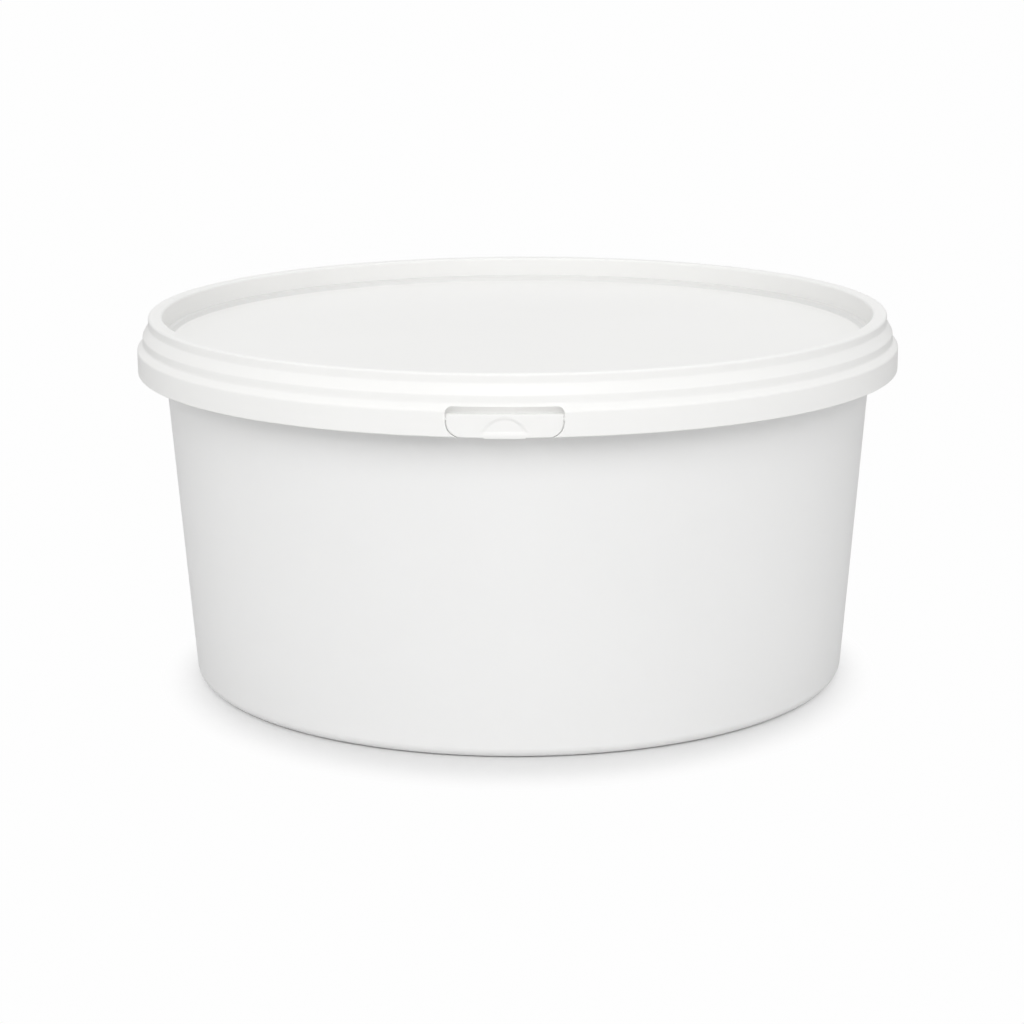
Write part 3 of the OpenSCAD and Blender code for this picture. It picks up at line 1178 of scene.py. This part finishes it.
@dataclass
class Paste:
    """The filler in the tub: a dense paste that was filled in a spiral from a nozzle and has settled."""

    tub: Tub
    level: float = 78.0
    gap: float = 0.3
    edge_chamfer: float = 0.5
    ring_step: float = 0.9
    base_drop: float = 0.7
    swirl_pitch: float = 17.0
    swirl_depth: float = 1.1
    lump_size: float = 21.0
    lump_depth: float = 1.6
    lump_from: float = 0.35
    peak_h: float = 0.7
    peak_r: float = 4.5
    edge_climb: float = 0.6
    edge_w: float = 1.4
    top_slack: float = 0.02
    seed: float = 3.0
    finish: WetPaste = WetPaste()
    SURFACE: ClassVar[tuple[str, ...]] = (
        "level", "edge_r", "base_drop", "swirl_pitch", "swirl_depth",
        "lump_depth", "peak_h", "peak_r", "edge_climb", "edge_w",
    )

    @property
    def edge_r(self) -> float:
        """Radius of the paste at its level."""
        return self.tub.wall_r(self.level) - self.tub.wall_t - self.gap

    def outline(self) -> list[Corner]:
        """Draws the outline from the axis, at the floor, round to the axis at the level.

        Returns:
            The corners, close together over the top.
        """
        tub = self.tub
        # The floor's step runs at 45 degrees, and the gap is measured square to it
        step_gap = self.gap * math.sqrt(2)
        low_z = tub.floor_t + self.gap
        low_r = tub.wall_r(tub.floor_t) - tub.wall_t - self.gap
        floor_z = tub.floor_lift + tub.floor_t
        top_r = self.edge_r - self.edge_chamfer
        rings = int(top_r / self.ring_step)
        return [
            *rounded(0, (0, floor_z), (tub.foot_in_r - tub.floor_lift + step_gap, floor_z)),
            *rounded(tub.inner_round, (tub.foot_in_r + step_gap - self.gap, low_z)),
            *rounded(tub.base_round - tub.wall_t, (low_r, low_z)),
            *rounded(0, (self.edge_r, self.level - self.edge_chamfer)),
            *rounded(0, *((top_r * (1 - i / rings), self.level) for i in range(rings + 1))),
        ]

    def surface_sizes(self) -> dict[str, float]:
        """Gives the surface tree's inputs, named like the fields that they take, in metres."""
        return {name: getattr(self, name) * MM for name in self.SURFACE}

    def surface_tree(self) -> NodeTree:
        """Builds the geometry tree that shapes the top, with its sizes as named inputs.

        Returns:
            The tree.
        """
        sizes = dict.fromkeys(self.SURFACE, "Float")
        tree = new_tree("paste_surface", {"Body": "Geometry", **sizes, "Finish": "Material"}, "Paste")
        board = Board(tree)
        given = board.add("NodeGroupInput")
        size = {name: given.other(name) for name in sizes}
        x = board.add("ShaderNodeSeparateXYZ", sockets={0: board.add("GeometryNodeInputPosition")})
        y, z = x.other("Y"), x.other("Z")
        from_axis = (x * x + y * y) ** 0.5
        turn = board.sum("ARCTAN2", y, x) * (1 / math.tau)
        phase = from_axis / size["swirl_pitch"] + turn
        crest = board.sum("ABSOLUTE", board.sum("SINE", phase * math.pi))
        noise = board.add(
            "ShaderNodeTexNoise",
            {"noise_dimensions": "4D"},
            {"W": self.seed, "Scale": 1 / (self.lump_size * MM), "Detail": 3.0},
        )
        lumps = board.sum("MAXIMUM", noise - self.lump_from, 0.0)
        to_edge = size["edge_r"] - from_axis
        climb = board.sum("EXPONENT", to_edge / size["edge_w"] * -1.0)
        near_axis = from_axis / size["peak_r"]
        peak = board.sum("EXPONENT", near_axis * near_axis * -1.0)
        calm = board.sum("MINIMUM", to_edge / size["swirl_pitch"], 1.0)
        drop = (
            size["base_drop"]
            + size["swirl_depth"] * (1 - crest) * (1 - peak) * calm
            + size["lump_depth"] * lumps * (1 - peak) * (1 - climb)
            - size["peak_h"] * peak
            - size["edge_climb"] * climb
        )
        on_top = board.sum("GREATER_THAN", z, size["level"] - self.top_slack * MM)
        moved = board.add("ShaderNodeCombineXYZ", sockets={2: drop * on_top * -1.0})
        body = given.other("Body")
        shaped = board.add("GeometryNodeSetPosition", sockets={"Geometry": body, "Offset": moved})
        board.hand_out("Paste", shaped, given.other("Finish"))
        return tree

    def build(self, shell: TurnedShell) -> Object:
        """Makes the paste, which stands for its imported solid.

        Args:
            shell: The tree that turns outlines.

        Returns:
            The piece.
        """
        finish = self.finish.material()
        piece = shell.make("filler_paste_body", self.outline(), finish)
        inputs = {**self.surface_sizes(), "Finish": finish}
        modify(piece, "NODES", {"node_group": self.surface_tree()}, inputs)
        even_shading(piece, crease=60.0)
        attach(piece, Body.TUB.value)
        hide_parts("filler_paste")
        return piece


def direction(azimuth: float, elevation: float) -> Vector:
    """Points from the tub's middle into the room.

    Args:
        azimuth: Degrees round the axis from the front, towards the right.
        elevation: Degrees above the level.

    Returns:
        The direction, 1 long.
    """
    around, above = math.radians(azimuth), math.radians(elevation)
    level = math.cos(above)
    return Vector((math.sin(around) * level, -math.cos(around) * level, math.sin(above)))


@dataclass
class Viewpoint:
    """The camera that took the photograph, worked out from the outlines of the lid and the tub."""

    distance: float = 700.1
    height: float = 206.6
    round_degrees: float = 1.75
    pitch_degrees: float = 13.35
    yaw_degrees: float = -1.887
    roll_degrees: float = -0.298
    lens: float = 94.87
    sensor: float = 36.0
    near_clip: float = 10.0
    far_clip: float = 50000.0

    def place(self) -> None:
        """Makes the camera and chooses it for the scene."""
        data = bpy.data.cameras.new("viewpoint")
        data.lens = self.lens
        data.sensor_width = self.sensor
        data.clip_start = self.near_clip * MM
        data.clip_end = self.far_clip * MM
        camera = bpy.data.objects.new("viewpoint", data)
        bpy.context.scene.collection.objects.link(camera)
        place = direction(self.round_degrees, 0.0) * self.distance + Vector((0.0, 0.0, self.height))
        turned = Matrix.Translation(place * MM)
        # It looks down at first, so it is raised to the level and lowered by its pitch
        for degrees, axis in (
            (-self.yaw_degrees, "Z"),
            (90.0 - self.pitch_degrees, "X"),
            (self.roll_degrees, "Z"),
        ):
            turned = turned @ Matrix.Rotation(math.radians(degrees), 4, axis)
        camera.matrix_world = turned
        bpy.context.scene.camera = camera


@dataclass(frozen=True)
class Lamp:
    """A square white soft box that looks at the middle of the tub, with its sizes in metres and watts."""

    name: str
    azimuth: float
    elevation: float
    distance: float
    width: float
    power: float
    aim_z: float = 0.05

    def place(self) -> None:
        """Makes the lamp."""
        data = bpy.data.lights.new(self.name, "AREA")
        data.shape = "SQUARE"
        data.size = self.width
        data.energy = self.power
        lamp = bpy.data.objects.new(self.name, data)
        # The plastic mirrors the white room instead, so no side of the tub clips
        lamp.visible_glossy = False
        bpy.context.scene.collection.objects.link(lamp)
        back = direction(self.azimuth, self.elevation)
        middle = Vector((0.0, 0.0, self.aim_z))
        turned = back.to_track_quat("Z", "Y").to_matrix().to_4x4()
        lamp.matrix_world = Matrix.Translation(back * self.distance + middle) @ turned


@dataclass
class Studio:
    """A plain white table in soft light: boxes before and behind the tub, on each side and over it.

    The table's half width is in metres, like the lamps' sizes.
    """

    room_light: float = 0.43
    seen_white: float = 0.99
    mirrored_white: float = 0.74
    mirrored_table: float = 0.5
    table_half_w: float = 12.0
    table_parts: int = 8
    table_grey: float = 0.8
    fade_from: float = 80.0
    fade_to: float = 103.0
    fade_ahead: float = 6.0
    fade_narrowing: float = 1.09
    lamps: tuple[Lamp, ...] = (
        Lamp("front_box", azimuth=0.0, elevation=38.0, distance=4.0, width=2.5, power=66.0),
        Lamp("left_box", azimuth=-60.0, elevation=25.0, distance=4.0, width=2.5, power=27.5),
        Lamp("right_box", azimuth=60.0, elevation=25.0, distance=4.0, width=2.5, power=25.5),
        Lamp("back_box", azimuth=180.0, elevation=30.0, distance=4.0, width=2.5, power=30.0),
        Lamp("top_box", azimuth=180.0, elevation=80.0, distance=3.25, width=1.0, power=14.0),
    )

    def build(self) -> None:
        """Lights the room and makes the table."""
        scene = bpy.context.scene
        scene.view_settings.view_transform = "Standard"
        self._light_room(scene)
        self._make_table()
        for lamp in self.lamps:
            lamp.place()

    @staticmethod
    def _straight(path: Wire) -> Wire:
        """Gives 1 for a ray that comes straight from the camera, also through clear things."""
        return path.board.sum("MAXIMUM", path.other("Is Camera Ray"), path.other("Is Transmission Ray"))

    def _seen(self, path: Wire) -> Wire:
        """Gives 1 for a ray that shows a surface, directly or in a reflection, and 0 for other rays."""
        return path.board.sum("MAXIMUM", self._straight(path), path.other("Is Glossy Ray"))

    def _white(self, path: Wire, mirrored: float) -> Wire:
        """Gives the brightness of the white round the tub, which is greyer in reflections."""
        return mirrored + self._straight(path) * (self.seen_white - mirrored)

    def _light_room(self, scene: Scene) -> None:
        """Makes the world: white where it is seen, and even light elsewhere.

        Args:
            scene: The scene.
        """
        scene.world = bpy.data.worlds.new("room")
        board = Board.emptied(scene.world)
        path = board.add("ShaderNodeLightPath")
        white = self._white(path, self.mirrored_white)
        strength = self.room_light + self._seen(path) * (white - self.room_light)
        room = board.add("ShaderNodeBackground", sockets={"Color": WHITE, "Strength": strength})
        board.add("ShaderNodeOutputWorld", sockets={"Surface": room})

    def _make_table(self) -> None:
        """Makes the table top, which keeps the tub's shadow and fades into the white round it."""
        build = bmesh.new()
        parts = self.table_parts
        bmesh.ops.create_grid(build, x_segments=parts, y_segments=parts, size=self.table_half_w)
        table = close_up("table_top", build)
        material = bpy.data.materials.new("table_white")
        board = Board.emptied(material)
        place = board.add("ShaderNodeTexCoord").other("Object")
        ahead = board.vector("ADD", place, (0.0, self.fade_ahead * MM, 0.0))
        narrowed = board.vector("MULTIPLY", ahead, (self.fade_narrowing, 1.0, 1.0))
        from_middle = board.vector("LENGTH", narrowed).other("Value")
        fade = board.fade(from_middle, self.fade_from, self.fade_to)
        path = board.add("ShaderNodeLightPath")
        matt = board.add("ShaderNodeBsdfDiffuse", sockets={"Color": opaque((self.table_grey,) * 3)})
        white = board.add("ShaderNodeEmission", sockets={"Strength": self._white(path, self.mirrored_table)})
        both = board.add("ShaderNodeMixShader", sockets={0: self._seen(path) * fade, 1: matt, 2: white})
        board.add("ShaderNodeOutputMaterial", sockets={"Surface": both})
        table.data.materials.append(material)


def main() -> None:
    """Builds the camera, the studio and the pieces, in that order."""
    logging.basicConfig(level=logging.INFO, format="%(message)s")
    Viewpoint().place()
    Studio().build()
    shell = TurnedShell()
    tub = Tub()
    lid = Lid()
    lid_finish = lid.finish.material()
    tub.build(shell)
    lid.build(shell, lid_finish)
    TearTab(lid).build(lid_finish)
    TearBridges().build(lid_finish)
    Paste(tub).build(shell)


if __name__ == "__main__":
    main()
